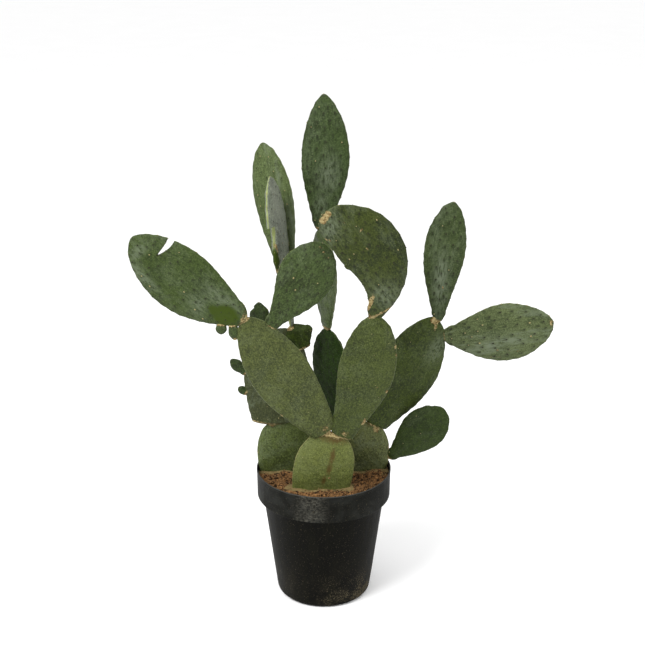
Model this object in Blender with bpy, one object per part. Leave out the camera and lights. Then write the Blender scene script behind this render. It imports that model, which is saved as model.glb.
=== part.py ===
"""A paddle cactus growing in a round nursery pot, in metres, +Z up, front towards -Y.

The origin is the middle of the pot's underside. Three old pads stand in the soil as
trunks. Every other pad or bud is one flattened, egg-shaped body that grows from the rim
of the pad below it, so it moves when that pad changes.
"""

import math
from dataclasses import dataclass

import bmesh
import bpy
from mathutils import Matrix, Vector

# Pot
POT_HEIGHT = 0.300
POT_RIM_RADIUS = 0.150  # outside, at the top edge
POT_FOOT_RADIUS = 0.105  # outside, where the wall meets the floor
POT_FOOT_ROUND = 0.012
POT_BAND_HEIGHT = 0.062
POT_BAND_TAPER = 0.001  # how much narrower the band is at its lower edge
POT_BAND_STEP = 0.013  # how far the band stands out from the wall below it
POT_BAND_SLOPE = 0.005  # height of the sloping ledge under the band
POT_WALL = 0.0025
POT_LIP_ROUND = 0.0008
POT_SIDES = 40
DRAIN_RADIUS = 0.007
DRAIN_CIRCLE = 0.062  # radius of the circle that the drainage holes lie on
DRAIN_COUNT = 6

# Soil
SOIL_DROP = 0.022  # from the pot's top edge down to the soil
SOIL_UNEVEN = 0.0025
SOIL_HEAP = 0.007  # how much higher the soil lies at the trunks
SOIL_HEAP_REACH = 0.030
SOIL_RINGS = 7

# Pads
TRUNK_THICKNESS = 0.026
PAD_THICKNESS = 0.018
BUD_THICKNESS = 0.011
TRUNK_DEPTH = 0.072  # how far the trunks reach into the soil
TRUNK_FOOT_TAPER = 0.33
FRONT_TRUNK_SETBACK = 0.074  # from the pot's inner wall to the front trunk's middle
FRONT_TRUNK_SHIFT = -0.024  # sideways, from the pot's axis
LEFT_TRUNK_WIDTH = 0.126
RIGHT_TRUNK_WIDTH = 0.122
LEFT_TRUNK_ROOM = 0.0005  # between the trunk's edge and the pot's inner wall, at the rim
RIGHT_TRUNK_ROOM = 0.0028
LEFT_TRUNK_BACK = 0.014  # behind the pot's axis
RIGHT_TRUNK_BACK = 0.018
SEAT_DEPTH = 0.006  # how far a pad's foot reaches into the rim that it grows from
CLEARANCE = 0.0005  # gap left all round where two pieces touch
RIM_SQUARENESS = 0.85  # under 1 the rim of a pad is blunter than an ellipse
PAD_SIDES = 14
PAD_RINGS = 12
SMALL_RINGS = 8

# Damage, at a share of the pad's length
SLIT_PLACE = 0.78
SLIT_LENGTH = 0.046
SLIT_MOUTH = 0.010
BITE_PLACE = 0.665
BITE_HEIGHT = 0.042
BITE_DEPTH = 0.024

POT_INNER_RADIUS = POT_RIM_RADIUS - POT_WALL
SOIL_LEVEL = POT_HEIGHT - SOIL_DROP
DAMAGE_DEPTH = 0.1  # the cutters are longer than any pad is thick


def clear_scene():
    for old in list(bpy.data.objects):
        bpy.data.objects.remove(old, do_unlink=True)


def make_material(name, colour, roughness):
    material = bpy.data.materials.new(name)
    material.use_nodes = True
    shader = material.node_tree.nodes["Principled BSDF"]
    shader.inputs["Base Color"].default_value = (*colour, 1.0)
    shader.inputs["Roughness"].default_value = roughness
    shader.inputs["Metallic"].default_value = 0.0
    return material


def make_object(name, bm, material=None):
    bmesh.ops.recalc_face_normals(bm, faces=bm.faces)
    mesh = bpy.data.meshes.new(name)
    bm.to_mesh(mesh)
    bm.free()
    mesh.shade_smooth()
    mesh.set_sharp_from_angle(angle=math.radians(50))
    obj = bpy.data.objects.new(name, mesh)
    bpy.context.scene.collection.objects.link(obj)
    if material:
        mesh.materials.append(material)
    return obj


def hide_helper(obj):
    obj.hide_render = True
    obj.display_type = "WIRE"


def cut(obj, cutter, label):
    """Takes the cutter's shape out of the object."""
    modifier = obj.modifiers.new(label, "BOOLEAN")
    modifier.operation = "DIFFERENCE"
    modifier.solver = "EXACT"
    modifier.object = cutter


def turned(profile, sides):
    """A closed body: the (radius, height) profile spun round the Z axis."""
    bm = bmesh.new()
    verts = [bm.verts.new((radius, 0.0, height)) for radius, height in profile]
    edges = [bm.edges.new(pair) for pair in zip(verts, verts[1:])]
    bmesh.ops.spin(
        bm,
        geom=verts + edges,
        axis=(0.0, 0.0, 1.0),
        cent=(0.0, 0.0, 0.0),
        steps=sides,
        angle=math.tau,
        use_merge=True,
    )
    bmesh.ops.remove_doubles(bm, verts=bm.verts, dist=1e-6)
    return bm


# ---------------------------------------------------------------- pot and soil


def wall_radius(height):
    """The pot's outer radius under the band, at a height above its underside."""
    under_band = POT_RIM_RADIUS - POT_BAND_TAPER - POT_BAND_STEP
    share = height / (POT_HEIGHT - POT_BAND_HEIGHT)
    return POT_FOOT_RADIUS + (under_band - POT_FOOT_RADIUS) * share


def pot_profile():
    """Out along the underside, up the outside, over the lip and down the inside."""
    band_foot = POT_HEIGHT - POT_BAND_HEIGHT
    ledge = band_foot - POT_BAND_SLOPE
    band_radius = POT_RIM_RADIUS - POT_BAND_TAPER
    foot_radius = wall_radius(POT_FOOT_ROUND)
    outside = [(0.0, 0.0)]
    for step in range(4):
        angle = math.radians(30 * step)
        outside.append(
            (
                foot_radius - POT_FOOT_ROUND * (1 - math.sin(angle)),
                POT_FOOT_ROUND * (1 - math.cos(angle)),
            )
        )
    outside += [
        (wall_radius(ledge), ledge),
        (band_radius, band_foot),
        (POT_RIM_RADIUS, POT_HEIGHT - POT_LIP_ROUND),
        (POT_RIM_RADIUS - POT_LIP_ROUND, POT_HEIGHT),
    ]
    inside = [
        (POT_INNER_RADIUS + POT_LIP_ROUND, POT_HEIGHT),
        (POT_INNER_RADIUS, POT_HEIGHT - POT_LIP_ROUND),
    ]
    return outside + inside + inner_wall()


def inner_wall(gap=0.0):
    """The pot's inside below the lip, from the band down to the middle of the floor."""
    band_foot = POT_HEIGHT - POT_BAND_HEIGHT + POT_WALL / 2
    ledge = band_foot - POT_BAND_SLOPE
    wall = POT_WALL + gap
    floor = POT_WALL + gap
    return [
        (POT_RIM_RADIUS - POT_BAND_TAPER - wall, band_foot + gap),
        (wall_radius(ledge) - wall, ledge + gap),
        (wall_radius(POT_FOOT_ROUND) - wall, POT_FOOT_ROUND + gap),
        (wall_radius(POT_FOOT_ROUND) - POT_FOOT_ROUND, floor),
        (0.0, floor),
    ]


def make_pot(material):
    pot = make_object("pot", turned(pot_profile(), POT_SIDES), material)
    bm = bmesh.new()
    for index in range(DRAIN_COUNT):
        angle = math.tau * (index + 0.5) / DRAIN_COUNT
        place = Matrix.Translation(
            (DRAIN_CIRCLE * math.cos(angle), DRAIN_CIRCLE * math.sin(angle), 0.0)
        )
        bmesh.ops.create_cone(
            bm,
            cap_ends=True,
            segments=12,
            radius1=DRAIN_RADIUS,
            radius2=DRAIN_RADIUS,
            depth=4 * POT_WALL,
            matrix=place,
        )
    drains = make_object("drain_cutter", bm)
    hide_helper(drains)
    cut(pot, drains, "drainage")
    return pot


def soil_height(x, y, trunks):
    """The soil's surface: gently uneven, and heaped against the trunks."""
    level = SOIL_LEVEL
    level += SOIL_UNEVEN * math.sin(61.0 * x + 0.7) * math.cos(53.0 * y - 0.4)
    level += 0.5 * SOIL_UNEVEN * math.sin(127.0 * x - 97.0 * y)
    nearest = min(trunk.distance_to(x, y) for trunk in trunks)
    return level + SOIL_HEAP * math.exp(-((nearest / SOIL_HEAP_REACH) ** 2))


def make_soil(material, trunks):
    edge = POT_INNER_RADIUS - POT_BAND_TAPER - CLEARANCE
    surface = [(edge * ring / SOIL_RINGS, SOIL_LEVEL) for ring in range(SOIL_RINGS + 1)]
    bm = turned(surface + inner_wall(CLEARANCE), POT_SIDES)
    for vert in bm.verts:
        if abs(vert.co.z - SOIL_LEVEL) < 1e-6:
            vert.co.z = soil_height(vert.co.x, vert.co.y, trunks)
    soil = make_object("soil", bm, material)
    for trunk in trunks:
        cut(soil, trunk.seat(), "pocket_" + trunk.name)
    return soil


# ------------------------------------------------------------------------ pads


@dataclass
class Pad:
    """One pad: its size, its outline and the way that it grows.

    lean tilts it from upright towards +X, back tilts it towards +Y, and turn rolls it
    about its own length, all in degrees. bend is the angle, in degrees, through which
    its middle line curves towards its own right side. widest is how far along the pad
    it is widest, as a share of its length. foot_taper and tip_taper shape its ends: the
    smaller, the blunter. neck is the width of its foot.
    """

    name: str
    length: float
    width: float
    thickness: float = PAD_THICKNESS
    lean: float = 0.0
    back: float = 0.0
    turn: float = 0.0
    bend: float = 0.0
    widest: float = 0.58
    foot_taper: float = 0.80
    tip_taper: float = 0.58
    neck: float = 0.030
    rings: int = PAD_RINGS
    root: Vector = None

    def rotation(self):
        return (
            Matrix.Rotation(math.radians(self.lean), 4, "Y")
            @ Matrix.Rotation(math.radians(-self.back), 4, "X")
            @ Matrix.Rotation(math.radians(self.turn), 4, "Z")
        )

    def matrix(self):
        return Matrix.Translation(self.root) @ self.rotation()

    def middle(self, share):
        """(x, z, tilt) of the middle line at a share of the length."""
        angle = math.radians(self.bend)
        if abs(angle) < 1e-6:
            return 0.0, self.length * share, 0.0
        radius = self.length / angle
        tilt = angle * (share - 0.5)
        x = radius * (math.cos(angle / 2) - math.cos(tilt))
        z = radius * (math.sin(tilt) + math.sin(angle / 2))
        return x, z, tilt

    def swell(self, share):
        """From 0 at either end to 1 at the widest place."""
        power = math.log(0.5) / math.log(self.widest)
        return max(math.sin(math.pi * min(max(share, 0.0), 1.0) ** power), 0.0)

    def half_neck(self, share):
        return self.neck / 2 * (1 - share) ** 5 * min(1.0, math.sqrt(share / 0.04))

    def half_width(self, share):
        taper = self.foot_taper + (self.tip_taper - self.foot_taper) * share
        return self.width / 2 * self.swell(share) ** taper + self.half_neck(share)

    def half_thickness(self, share):
        return self.thickness / 2 * self.swell(share) ** 0.45 + 0.35 * self.half_neck(share)

    def surface(self, share, angle):
        """The surface at a share of the length and an angle round the pad."""
        x, z, tilt = self.middle(share)
        across = math.copysign(abs(math.cos(angle)) ** RIM_SQUARENESS, math.cos(angle))
        through = math.copysign(abs(math.sin(angle)) ** RIM_SQUARENESS, math.sin(angle))
        side = self.half_width(share) * across
        return Vector(
            (
                x + side * math.cos(tilt),
                self.half_thickness(share) * through,
                z - side * math.sin(tilt),
            )
        )

    def rim(self, where):
        """The point on the rim at 0 for the tip, down to -1 and 1 at the foot."""
        angle = 0.0 if where >= 0 else math.pi
        return self.matrix() @ self.surface(1 - abs(where), angle)

    def distance_to(self, x, y):
        """How far a point is, seen from above, from the pad's middle plane."""
        flat = self.matrix() @ Vector((0.0, 0.0, TRUNK_DEPTH))
        along = self.rotation() @ Vector((1.0, 0.0, 0.0))
        half = self.half_width(TRUNK_DEPTH / self.length)
        offset = Vector((x - flat.x, y - flat.y))
        line = Vector((along.x, along.y)).normalized()
        slide = max(-half, min(half, offset.dot(line)))
        return (offset - line * slide).length

    def body(self, margin=0.0):
        bm = bmesh.new()
        bmesh.ops.create_uvsphere(
            bm, u_segments=PAD_SIDES, v_segments=self.rings, radius=1.0
        )
        for vert in bm.verts:
            share = min(max((vert.co.z + 1) / 2, 0.0), 1.0)
            vert.co = self.surface(share, math.atan2(vert.co.y, vert.co.x))
        if margin:
            bm.normal_update()
            for vert in bm.verts:
                vert.co += vert.normal * margin
        return bm

    def seat(self):
        """A hidden copy, larger all round by the clearance, that cuts what touches it."""
        name = "seat_" + self.name
        if name in bpy.data.objects:
            return bpy.data.objects[name]
        helper = make_object(name, self.body(2 * CLEARANCE))
        helper.matrix_world = self.matrix()
        hide_helper(helper)
        return helper

    def build(self, material, neighbours=()):
        obj = make_object(self.name, self.body(), material)
        obj.matrix_world = self.matrix()
        for other in neighbours:
            cut(obj, other.seat(), "seat_on_" + other.name)
        return obj


def grow(parent, where, material, beside=(), **size):
    """A pad that grows from a place on the rim of another pad."""
    pad = Pad(**size)
    outward = pad.rotation() @ Vector((0.0, 0.0, 1.0))
    pad.root = parent.rim(where) - SEAT_DEPTH * outward
    obj = pad.build(material, (parent, *beside))
    return pad, obj


def plant(x, y, material, **size):
    """A trunk standing in the soil."""
    pad = Pad(thickness=TRUNK_THICKNESS, foot_taper=TRUNK_FOOT_TAPER, **size)
    pad.root = Vector((x, y, SOIL_LEVEL - TRUNK_DEPTH))
    pad.build(material)
    return pad


def plant_by_wall(side, room, y, material, **size):
    """A trunk whose outer edge passes the pot's rim with room to spare."""
    pad = Pad(thickness=TRUNK_THICKNESS, foot_taper=TRUNK_FOOT_TAPER, **size)
    rise = SOIL_DROP + TRUNK_DEPTH
    edge = pad.half_width(rise / pad.length)
    drift = rise * math.tan(math.radians(side * pad.lean))
    wall = math.sqrt(POT_INNER_RADIUS**2 - y**2)
    return plant(side * (wall - room - edge - drift), y, material, **size)


def make_trunks(material):
    front_y = -(POT_INNER_RADIUS - FRONT_TRUNK_SETBACK)
    front = plant(
        FRONT_TRUNK_SHIFT, front_y, material, name="trunk_front",
        length=0.217, width=0.130, lean=11, widest=0.57, tip_taper=0.50,
    )
    left = plant_by_wall(
        -1, LEFT_TRUNK_ROOM, LEFT_TRUNK_BACK, material, name="trunk_left",
        length=0.202, width=LEFT_TRUNK_WIDTH, lean=-2, widest=0.59, tip_taper=0.42,
    )
    right = plant_by_wall(
        1, RIGHT_TRUNK_ROOM, RIGHT_TRUNK_BACK, material, name="trunk_right",
        length=0.195, width=RIGHT_TRUNK_WIDTH, lean=2, widest=0.62, tip_taper=0.44,
    )
    return front, left, right


def make_front_branch(trunk, green):
    left, _ = grow(
        trunk, -0.01, green, name="pad_front_left",
        length=0.325, width=0.123, lean=-32, back=-5, turn=6, bend=10,
        widest=0.55,
    )
    right, _ = grow(
        trunk, 0.02, green, beside=[left], name="pad_front_right",
        length=0.299, width=0.116, lean=14.5, back=-5, turn=-6, bend=-23,
        widest=0.61, foot_taper=0.73, tip_taper=0.49,
    )
    far, far_obj = grow(
        left, 0.0, green, name="pad_far_left",
        length=0.289, width=0.135, lean=-54.7, back=7, turn=-2, bend=22,
        widest=0.56, foot_taper=0.73, tip_taper=0.54,
    )
    cut_slit(far, far_obj)
    grow(
        left, 0.13, green, beside=[far], name="pad_middle",
        length=0.212, width=0.114, lean=32, back=2, bend=-18,
        widest=0.65, tip_taper=0.52,
    )
    grow(
        right, -0.01, green, name="pad_curled",
        length=0.288, width=0.127, lean=-27.5, back=-4, bend=-126,
        widest=0.61, tip_taper=0.48,
    )
    bud = dict(thickness=BUD_THICKNESS, neck=0.012, rings=SMALL_RINGS)
    grow(
        far, -0.93, green, beside=[left], name="bud_under_inner",
        length=0.036, width=0.022, lean=170, **bud,
    )
    grow(
        far, -0.86, green, name="bud_under_outer",
        length=0.026, width=0.023, lean=184, **bud,
    )


def make_left_branch(trunk, green, grey, dark):
    base, _ = grow(
        trunk, -0.02, green, name="pad_back_left",
        length=0.225, width=0.137, lean=8, back=3, bend=19,
        widest=0.55, foot_taper=0.69,
    )
    stub, _ = grow(
        base, 0.14, dark, name="pad_stub",
        length=0.061, width=0.063, lean=-25, back=3,
        widest=0.57, foot_taper=0.70, neck=0.020, rings=SMALL_RINGS,
    )
    tall, tall_obj = grow(
        stub, 0.0, grey, name="pad_tall_grey",
        length=0.346, width=0.106, lean=-7.2, back=-6, turn=74,
        widest=0.69, foot_taper=0.84, neck=0.024,
    )
    cut_bite(tall, tall_obj)
    grow(
        tall, 0.88, green, beside=[stub], name="pad_tall_back",
        length=0.365, width=0.091, lean=-9.7, back=10, turn=-24, bend=-5,
        widest=0.68, foot_taper=0.86, neck=0.024,
    )
    grow(
        base, -0.16, dark, name="pad_small_left",
        length=0.089, width=0.045, thickness=BUD_THICKNESS, lean=-2, turn=-15,
        widest=0.60, foot_taper=0.70, tip_taper=0.60, neck=0.015, rings=SMALL_RINGS,
    )
    bud = dict(thickness=BUD_THICKNESS, rings=SMALL_RINGS)
    grow(
        base, -0.50, dark, name="bud_left_upper",
        length=0.048, width=0.025, lean=-44, neck=0.010, **bud,
    )
    grow(
        base, -0.68, dark, name="bud_left_lower",
        length=0.024, width=0.018, lean=-62, neck=0.010, **bud,
    )


def make_right_branch(trunk, green, dark):
    low, _ = grow(
        trunk, -0.15, dark, name="pad_back_low",
        length=0.249, width=0.113, lean=-7.3, back=7, turn=-45, bend=8,
        widest=0.62, foot_taper=0.85, tip_taper=0.60, neck=0.036,
    )
    mid, _ = grow(
        low, 0.0, dark, name="pad_back_mid",
        length=0.231, width=0.103, lean=-3.2, back=2, turn=-60, bend=-2,
        widest=0.59, neck=0.026,
    )
    grow(
        mid, -0.01, green, name="pad_top",
        length=0.291, width=0.101, lean=1.8, back=2, turn=-10, bend=-13,
        widest=0.55, foot_taper=0.84, tip_taper=0.62, neck=0.018,
    )
    base, _ = grow(
        trunk, 0.02, dark, beside=[low], name="pad_right",
        length=0.284, width=0.135, lean=29, back=6, turn=8, bend=-13,
        widest=0.55,
    )
    upright, _ = grow(
        base, 0.01, green, name="pad_right_upright",
        length=0.267, width=0.088, lean=6, back=5, turn=-12, bend=12,
        widest=0.61, foot_taper=0.74, neck=0.018,
    )
    grow(
        base, 0.10, green, beside=[upright], name="pad_right_outer",
        length=0.245, width=0.136, lean=81, back=-5, turn=5, bend=-24,
        neck=0.024,
    )
    grow(
        trunk, 0.42, dark, name="pad_right_small",
        length=0.178, width=0.099, thickness=0.014, lean=42.5, back=-6, bend=-21,
        widest=0.63, tip_taper=0.54, neck=0.020,
    )


# ---------------------------------------------------------------------- damage


def cut_slit(pad, obj):
    """A narrow wedge cut into the upper edge of a pad, from its rim inwards."""
    x, z, _ = pad.middle(SLIT_PLACE)
    half = pad.half_width(SLIT_PLACE)
    bm = bmesh.new()
    bmesh.ops.create_cone(
        bm, cap_ends=True, segments=3, radius1=1.0, radius2=1.0, depth=1.0
    )
    for vert in bm.verts:
        corner = vert.co.copy()
        mouth = corner.y < 0
        reach = half + SLIT_LENGTH / 2 if mouth else half - SLIT_LENGTH
        spread = math.copysign(SLIT_MOUTH * 0.75, corner.x) if mouth else 0.0
        vert.co = Vector((x + reach, DAMAGE_DEPTH * corner.z, z + spread))
    cutter = make_object("slit_cutter", bm)
    cutter.matrix_world = pad.matrix()
    hide_helper(cutter)
    cut(obj, cutter, "slit")


def cut_bite(pad, obj):
    """A rounded bite out of the left rim of a pad."""
    x, z, _ = pad.middle(BITE_PLACE)
    bm = bmesh.new()
    bmesh.ops.create_cone(
        bm,
        cap_ends=True,
        segments=12,
        radius1=1.0,
        radius2=1.0,
        depth=DAMAGE_DEPTH,
        matrix=Matrix.Rotation(math.radians(90), 4, "X"),
    )
    for vert in bm.verts:
        vert.co.x = vert.co.x * BITE_DEPTH + x - pad.half_width(BITE_PLACE)
        vert.co.z = vert.co.z * BITE_HEIGHT / 2 + z
    cutter = make_object("bite_cutter", bm)
    cutter.matrix_world = pad.matrix()
    hide_helper(cutter)
    cut(obj, cutter, "bite")


def main():
    clear_scene()
    green = make_material("pad_green", (0.085, 0.110, 0.045), 0.55)
    dark = make_material("pad_dark_green", (0.045, 0.065, 0.020), 0.50)
    grey = make_material("pad_grey", (0.190, 0.215, 0.165), 0.65)
    bark = make_material("trunk_green", (0.095, 0.112, 0.036), 0.60)
    black = make_material("pot_plastic", (0.018, 0.019, 0.016), 0.45)
    brown = make_material("soil_mix", (0.100, 0.055, 0.020), 0.95)
    trunks = make_trunks(bark)
    front, left, right = trunks
    make_front_branch(front, green)
    make_left_branch(left, green, grey, dark)
    make_right_branch(right, green, dark)
    make_pot(black)
    make_soil(brown, trunks)


main()
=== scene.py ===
"""The finished look of a potted paddle cactus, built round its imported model.

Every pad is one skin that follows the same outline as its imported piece, raised into low
bumps under its areoles, the small felt cushions that cactus spines grow from. Lengths
are in metres, +Z is up and -Y is the front.
"""

import math
import random
from dataclasses import dataclass, field

import bmesh
import bpy
import numpy as np
from bpy.props import FloatProperty, FloatVectorProperty, IntProperty, PointerProperty
from mathutils import Euler, Matrix, Vector, noise


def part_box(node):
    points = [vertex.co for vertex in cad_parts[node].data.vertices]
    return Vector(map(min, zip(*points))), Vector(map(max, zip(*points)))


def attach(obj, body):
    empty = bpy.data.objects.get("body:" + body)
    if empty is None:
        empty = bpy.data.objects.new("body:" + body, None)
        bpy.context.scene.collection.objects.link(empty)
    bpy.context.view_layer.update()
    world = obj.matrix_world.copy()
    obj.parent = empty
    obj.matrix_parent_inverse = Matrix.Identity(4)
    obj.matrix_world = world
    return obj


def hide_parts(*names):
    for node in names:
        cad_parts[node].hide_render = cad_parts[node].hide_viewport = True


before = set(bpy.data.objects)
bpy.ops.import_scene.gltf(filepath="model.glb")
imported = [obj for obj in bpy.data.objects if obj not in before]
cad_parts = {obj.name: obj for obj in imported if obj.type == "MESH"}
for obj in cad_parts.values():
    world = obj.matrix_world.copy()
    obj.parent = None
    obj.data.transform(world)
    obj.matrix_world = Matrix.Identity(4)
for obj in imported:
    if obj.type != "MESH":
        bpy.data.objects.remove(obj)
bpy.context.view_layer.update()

bl_info = {
    "name": "Potted paddle cactus",
    "version": (1, 0, 0),
    "blender": (4, 5, 0),
    "location": "View3D > Sidebar > Cactus",
    "description": "Builds a potted paddle cactus piece by piece",
    "category": "Add Mesh",
}

BODY = "root"
POT_LOW, POT_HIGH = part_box("pot")
POT_HEIGHT = POT_HIGH.z

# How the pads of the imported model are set, repeated here
TRUNK_THICKNESS = 0.026
PAD_THICKNESS = 0.018
BUD_THICKNESS = 0.011
TRUNK_DEPTH = 0.072
TRUNK_FOOT_TAPER = 0.33
SEAT_DEPTH = 0.006
RIM_SQUARENESS = 0.85
WALL = 0.0025
SOIL_DROP = 0.022
SOIL_UNEVEN = 0.0025
SOIL_HEAP = 0.007  # how much higher the soil lies at the trunks
SOIL_HEAP_REACH = 0.030
FRONT_TRUNK_SETBACK = 0.074  # from the pot's inner wall to the front trunk's middle
BAND_SLOPE = 0.005  # height of the sloping ledge under the pot's band
DRAIN_RADIUS = 0.007
DRAIN_CIRCLE = 0.062  # radius of the circle that the drainage holes lie on
DRAIN_COUNT = 6
INNER_RADIUS = POT_HIGH.x - WALL
SOIL_LEVEL = POT_HEIGHT - SOIL_DROP

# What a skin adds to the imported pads
BAND_STEP = 0.014  # how far the pot's band stands out from the wall below it
AREOLE_SIZE = 0.0013
BUMP_REACH = 0.0046  # how wide the skin swells round an areole
PIT_REACH = 0.0017  # how wide the dip is in which the areole sits
SKIN_GAP = 0.004  # an areole farther than this from the skin was cut away
MOST_OFF = 0.014  # how far a skin may reach past or fall short of its packed pad
SLIT = (0.78, 0.046, 0.0135)  # share of the length, depth and mouth of the far pad's slit

# Where the camera stands, how far it looks down, and its lens
CAMERA_PLACE = (-0.0027, -2.5, 1.536)
CAMERA_DROP = 19.75
LENS_MM = 68.72
SENSOR_MM = 36.0


# ------------------------------------------------------------------ settings


class PotSettings(bpy.types.PropertyGroup):
    """Sizes and colours of the pot"""

    foot_radius: FloatProperty(
        name="Foot radius",
        description="Outside radius where the wall would meet the floor",
        default=0.105,
        unit="LENGTH",
    )
    band_height: FloatProperty(
        name="Band height",
        description="Height of the wide band round the rim",
        default=0.062,
        unit="LENGTH",
    )
    plastic: FloatVectorProperty(
        name="Plastic",
        description="Colour of clean plastic",
        default=(0.0018, 0.0018, 0.0010),
        size=3,
        subtype="COLOR",
    )
    dust: FloatVectorProperty(
        name="Dust",
        description="Colour of dried soil and dust on the plastic",
        default=(0.120, 0.100, 0.062),
        size=3,
        subtype="COLOR",
    )


class SoilSettings(bpy.types.PropertyGroup):
    """Sizes and colours of the soil"""

    crumbs: IntProperty(
        name="Crumbs",
        description="How many loose crumbs lie on the soil",
        default=1500,
        min=0,
    )
    crumb_size: FloatProperty(
        name="Crumb size",
        description="Radius of a large crumb",
        default=0.0042,
        unit="LENGTH",
    )
    brown: FloatVectorProperty(
        name="Brown",
        description="Colour of the potting mix",
        default=(0.150, 0.076, 0.028),
        size=3,
        subtype="COLOR",
    )
    sand: FloatVectorProperty(
        name="Sand",
        description="Colour of the sandy soil against the trunks",
        default=(0.205, 0.150, 0.060),
        size=3,
        subtype="COLOR",
    )


class SkinSettings(bpy.types.PropertyGroup):
    """Detail and colours that all pads share"""

    sides: IntProperty(
        name="Sides",
        description="Points round a pad",
        default=128,
        min=16,
    )
    rings: IntProperty(
        name="Rings",
        description="Points along a pad",
        default=132,
        min=16,
    )
    line_gap: FloatProperty(
        name="Line gap",
        description="Distance between two lines of areoles across a pad",
        default=0.0185,
        unit="LENGTH",
    )
    areole_gap: FloatProperty(
        name="Areole gap",
        description="Distance between two areoles along a line",
        default=0.0290,
        unit="LENGTH",
    )
    bump_height: FloatProperty(
        name="Bump height",
        description="How far the skin rises under an areole",
        default=0.0017,
        unit="LENGTH",
    )
    bloom: FloatVectorProperty(
        name="Bloom",
        description="Colour of the waxy bloom on the skin",
        default=(0.118, 0.142, 0.092),
        size=3,
        subtype="COLOR",
    )
    cork: FloatVectorProperty(
        name="Cork",
        description="Colour of pale, dry cork",
        default=(0.360, 0.290, 0.135),
        size=3,
        subtype="COLOR",
    )
    old_cork: FloatVectorProperty(
        name="Old cork",
        description="Colour of old, brown cork",
        default=(0.110, 0.062, 0.018),
        size=3,
        subtype="COLOR",
    )


class StageSettings(bpy.types.PropertyGroup):
    """Floor, light and camera"""

    floor: FloatVectorProperty(
        name="Floor",
        description="Colour of the floor",
        default=(0.94, 0.94, 0.94),
        size=3,
        subtype="COLOR",
    )
    sky: FloatProperty(
        name="Sky",
        description="Strength of the even light from all round",
        default=0.92,
        min=0.0,
    )
    key: FloatProperty(
        name="Key light",
        description="Power of the large lamp at the upper left, in watts",
        default=115.0,
        min=0.0,
    )


# ------------------------------------------------------------------ materials


class Graph:
    """A material's nodes, added and joined in short calls."""

    def __init__(self, name):
        self.material = bpy.data.materials.new(name)
        self.material.use_nodes = True
        self.tree = self.material.node_tree
        self.shader = self.tree.nodes["Principled BSDF"]

    def put(self, socket, value):
        if isinstance(value, bpy.types.NodeSocket):
            self.tree.links.new(value, socket)
        elif hasattr(value, "__len__"):
            length = len(socket.default_value)
            socket.default_value = (*value, 1.0)[:length]
        else:
            socket.default_value = value

    def add(self, kind, **inputs):
        node = self.tree.nodes.new("ShaderNode" + kind)
        for name, value in inputs.items():
            self.put(node.inputs[name], value)
        return node

    def place(self):
        return self.add("TexCoord").outputs["Object"]

    def attribute(self, name, output="Fac"):
        node = self.add("Attribute")
        node.attribute_name = name
        return node.outputs[output]

    def stretched(self, vector, scale):
        node = self.add("Mapping", Vector=vector, Scale=scale)
        return node.outputs["Vector"]

    def noise(self, vector, scale, detail=3.0, roughness=0.55, distortion=0.0):
        node = self.add(
            "TexNoise",
            Vector=vector,
            Scale=scale,
            Detail=detail,
            Roughness=roughness,
            Distortion=distortion,
        )
        return node.outputs["Fac"]

    def cells(self, vector, scale):
        node = self.add("TexVoronoi", Vector=vector, Scale=scale)
        return node.outputs["Distance"]

    def maths(self, operation, first, second=0.0, clamp=False):
        node = self.tree.nodes.new("ShaderNodeMath")
        node.operation = operation
        node.use_clamp = clamp
        self.put(node.inputs[0], first)
        self.put(node.inputs[1], second)
        return node.outputs[0]

    def times(self, first, second, clamp=False):
        return self.maths("MULTIPLY", first, second, clamp)

    def plus(self, first, second, clamp=False):
        return self.maths("ADD", first, second, clamp)

    def ramp(self, value, low, high, start=0.0, end=1.0):
        """Goes smoothly from start to end as value goes from low to high."""
        node = self.tree.nodes.new("ShaderNodeMapRange")
        node.interpolation_type = "SMOOTHSTEP"
        self.put(node.inputs["Value"], value)
        node.inputs["From Min"].default_value = low
        node.inputs["From Max"].default_value = high
        node.inputs["To Min"].default_value = start
        node.inputs["To Max"].default_value = end
        return node.outputs["Result"]

    def mix(self, share, first, second, blend="MIX"):
        node = self.tree.nodes.new("ShaderNodeMix")
        node.data_type = "RGBA"
        node.blend_type = blend
        node.clamp_factor = True
        self.put(node.inputs[0], share)
        self.put(node.inputs[6], first)
        self.put(node.inputs[7], second)
        return node.outputs[2]

    def part(self, vector, axis):
        node = self.add("SeparateXYZ", Vector=vector)
        return node.outputs[axis]

    def finish(self, colour, roughness, height, distance, specular=0.5, strength=1.0):
        self.put(self.shader.inputs["Base Color"], colour)
        self.put(self.shader.inputs["Roughness"], roughness)
        self.shader.inputs["Specular IOR Level"].default_value = specular
        bump = self.add("Bump", Strength=strength, Distance=distance, Height=height)
        self.put(self.shader.inputs["Normal"], bump.outputs["Normal"])
        return self.material


@dataclass
class Look:
    """How one pad's skin is coloured, and where it is marked.

    Each mark is its kind, its share of the length, its place across from -1 to 1, its
    reach along and across, its amount, and its face: -1 or 1, or 0 for the rim.
    """

    green: tuple
    shade: tuple
    bloom: float = 0.35  # how much of the skin carries bloom
    # The rim's colour, partly its own paler skin and glochids, partly painted highlight
    rim: tuple = (0.150, 0.180, 0.060)
    rim_share: float = 0.62
    streaks: float = 0.4  # how far the mottling is drawn out along the pad
    wrinkles: float = 0.0  # fine creases across an old pad
    gloss: float = 0.0
    areoles: float = 1.0  # size of the areoles against the usual
    pale: float = 0.07  # share of the areoles that are pale instead of dark
    rim_pale: float = 0.7
    marks: list = field(default_factory=list)


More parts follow.
